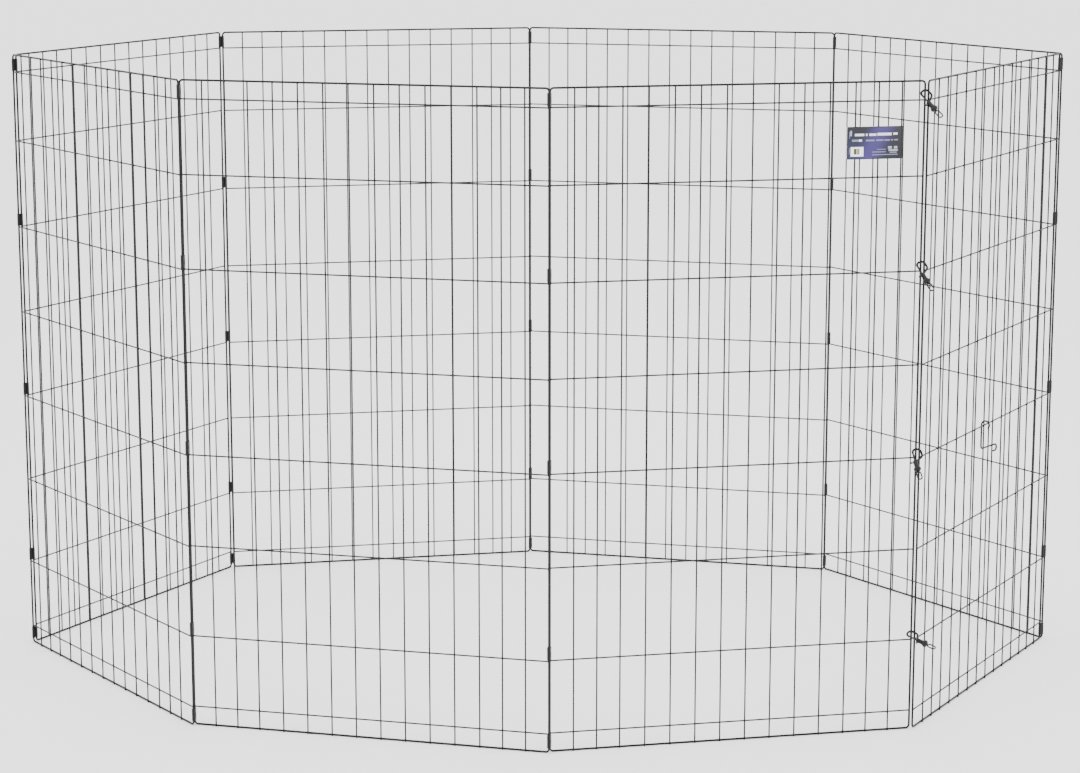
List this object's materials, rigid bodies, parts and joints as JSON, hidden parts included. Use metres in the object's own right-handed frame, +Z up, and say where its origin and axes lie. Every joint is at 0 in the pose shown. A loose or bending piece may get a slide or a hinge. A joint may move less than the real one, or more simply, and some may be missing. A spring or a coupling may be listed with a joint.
{
  "type": "folding wire pet playpen",
  "caption": "Free-standing folding wire pen of hinged rectangular panels, with sheet hinge clips and one corner closed by bolt snaps.",
  "frame": {"origin": "middle of the pen at floor level", "axes": "+Z up, -Y the front with the snap corner at front right, +X across the widest corners"},
  "size_m": [1.8438, 1.2968, 1.0668],
  "materials": {
    "panel_wire": "satin black e-coat on welded steel wire",
    "hinge_clip": "satin black painted steel strip",
    "snap_casting": "black coated die-cast zinc",
    "snap_bolt": "black coated steel",
    "snap_spring": "bare spring steel",
    "snap_eye": "black coated die-cast zinc",
    "storage_hook": "black coated bent steel wire",
    "label_card": null,
    "label_staple": "bright steel wire"
  },
  "bodies": {
    "panel_1": {"panel_1_frame": "panel_wire", "panel_1_uprights": "panel_wire", "panel_1_crosswires": "panel_wire"},
    "panel_2": {"panel_2_frame": "panel_wire", "panel_2_uprights": "panel_wire", "panel_2_crosswires": "panel_wire", "clips_1_2": "hinge_clip"},
    "panel_3": {"panel_3_frame": "panel_wire", "panel_3_uprights": "panel_wire", "panel_3_crosswires": "panel_wire", "clips_2_3": "hinge_clip", "clips_3_4": "hinge_clip"},
    "panel_4": {"panel_4_frame": "panel_wire", "panel_4_uprights": "panel_wire", "panel_4_crosswires": "panel_wire", "clips_4_5": "hinge_clip"},
    "panel_5": {"panel_5_frame": "panel_wire", "panel_5_uprights": "panel_wire", "panel_5_crosswires": "panel_wire"},
    "panel_6": {"panel_6_frame": "panel_wire", "panel_6_uprights": "panel_wire", "panel_6_crosswires": "panel_wire", "clips_5_6": "hinge_clip"},
    "panel_7": {"panel_7_frame": "panel_wire", "panel_7_uprights": "panel_wire", "panel_7_crosswires": "panel_wire", "clips_6_7": "hinge_clip", "clips_7_8": "hinge_clip"},
    "panel_8": {"panel_8_frame": "panel_wire", "panel_8_uprights": "panel_wire", "panel_8_crosswires": "panel_wire", "label_card": "label_card", "label_staples": "label_staple", "snap_1_body": "snap_casting", "snap_1_spring": "snap_spring", "snap_2_body": "snap_casting", "snap_2_spring": "snap_spring", "snap_3_body": "snap_casting", "snap_3_spring": "snap_spring", "snap_4_body": "snap_casting", "snap_4_spring": "snap_spring"},
    "snap_1_bolt": {"snap_1_bolt": "snap_bolt"},
    "snap_1_eye": {"snap_1_eye": "snap_eye"},
    "snap_2_bolt": {"snap_2_bolt": "snap_bolt"},
    "snap_2_eye": {"snap_2_eye": "snap_eye"},
    "snap_3_bolt": {"snap_3_bolt": "snap_bolt"},
    "snap_3_eye": {"snap_3_eye": "snap_eye"},
    "snap_4_bolt": {"snap_4_bolt": "snap_bolt"},
    "snap_4_eye": {"snap_4_eye": "snap_eye"},
    "storage_hook": {"storage_hook": "storage_hook"}
  },
  "joints": [
    {"name": "hinge_5_6", "type": "hinge", "parent": "panel_5", "child": "panel_6", "pos_m": [-0.91468, -0.00202, 0.5334], "axis": [0, 0, 1], "range_deg": [0, 105.73]},
    {"name": "hinge_6_7", "type": "hinge", "parent": "panel_6", "child": "panel_7", "pos_m": [-0.57223, -0.49936, 0.5334], "axis": [0, 0, 1], "range_deg": [-202.7, 0]},
    {"name": "fold", "type": "hinge", "parent": "panel_7", "child": "panel_8", "pos_m": [0.01499, -0.64033, 0.5334], "axis": [0, 0, 1], "range_deg": [0, 141.77]},
    {"name": "hinge_4_5", "type": "hinge", "parent": "panel_5", "child": "panel_4", "pos_m": [-0.61278, 0.52088, 0.5334], "axis": [0, 0, 1], "range_deg": [0, 44.82]},
    {"name": "hinge_3_4", "type": "hinge", "parent": "panel_4", "child": "panel_3", "pos_m": [-0.01499, 0.64033, 0.5334], "axis": [0, 0, 1], "range_deg": [-141.79, 0]},
    {"name": "hinge_2_3", "type": "hinge", "parent": "panel_3", "child": "panel_2", "pos_m": [0.57223, 0.49936, 0.5334], "axis": [0, 0, 1], "range_deg": [0, 202.7]},
    {"name": "hinge_1_2", "type": "hinge", "parent": "panel_2", "child": "panel_1", "pos_m": [0.91468, 0.00202, 0.5334], "axis": [0, 0, 1], "range_deg": [-105.73, 0]},
    {"name": "snap_1_bolt_slide", "type": "slide", "parent": "panel_8", "child": "snap_1_bolt", "axis": [0.5994, -0.4479, -0.6634], "range_m": [0, 0.0046], "stiffness_N_per_m": 300, "springref_m": -0.003, "deforming": ["snap_1_spring"]},
    {"name": "snap_1_swivel", "type": "hinge", "parent": "panel_8", "child": "snap_1_eye", "pos_m": [0.62173, -0.53788, 1.02073], "axis": [-0.5994, 0.4479, 0.6634], "continuous": true},
    {"name": "snap_2_bolt_slide", "type": "slide", "parent": "panel_8", "child": "snap_2_bolt", "axis": [0.4537, -0.5253, -0.7198], "range_m": [0, 0.0046], "stiffness_N_per_m": 300, "springref_m": -0.003, "deforming": ["snap_2_spring"]},
    {"name": "snap_2_swivel", "type": "hinge", "parent": "panel_8", "child": "snap_2_eye", "pos_m": [0.61685, -0.53952, 0.746], "axis": [-0.4537, 0.5253, 0.7198], "continuous": true},
    {"name": "snap_3_bolt_slide", "type": "slide", "parent": "panel_8", "child": "snap_3_bolt", "axis": [0.194, -0.6151, -0.7642], "range_m": [0, 0.0046], "stiffness_N_per_m": 300, "springref_m": -0.003, "deforming": ["snap_3_spring"]},
    {"name": "snap_3_swivel", "type": "hinge", "parent": "panel_8", "child": "snap_3_eye", "pos_m": [0.60868, -0.54099, 0.43985], "axis": [-0.194, 0.6151, 0.7642], "continuous": true},
    {"name": "snap_4_bolt_slide", "type": "slide", "parent": "panel_8", "child": "snap_4_bolt", "axis": [0.8297, -0.4813, -0.2825], "range_m": [0, 0.0046], "stiffness_N_per_m": 300, "springref_m": -0.003, "deforming": ["snap_4_spring"]},
    {"name": "snap_4_swivel", "type": "hinge", "parent": "panel_8", "child": "snap_4_eye", "pos_m": [0.63007, -0.54095, 0.14909], "axis": [-0.8297, 0.4813, 0.2825], "continuous": true},
    {"name": "storage_hook_swing", "type": "hinge", "parent": "panel_1", "child": "storage_hook", "pos_m": [0.76399, -0.25958, 0.4572], "axis": [-0.5, -0.866, 0], "range_deg": [-100, 0]}
  ],
  "couplings": [
    {"joint": "hinge_5_6", "follows": "fold", "ratio": 0.74562},
    {"joint": "hinge_6_7", "follows": "fold", "ratio": -1.4296},
    {"joint": "hinge_4_5", "follows": "fold", "ratio": 0.31603},
    {"joint": "hinge_3_4", "follows": "fold", "ratio": -1},
    {"joint": "hinge_2_3", "follows": "fold", "ratio": 1.4296},
    {"joint": "hinge_1_2", "follows": "fold", "ratio": -0.74562}
  ]
}
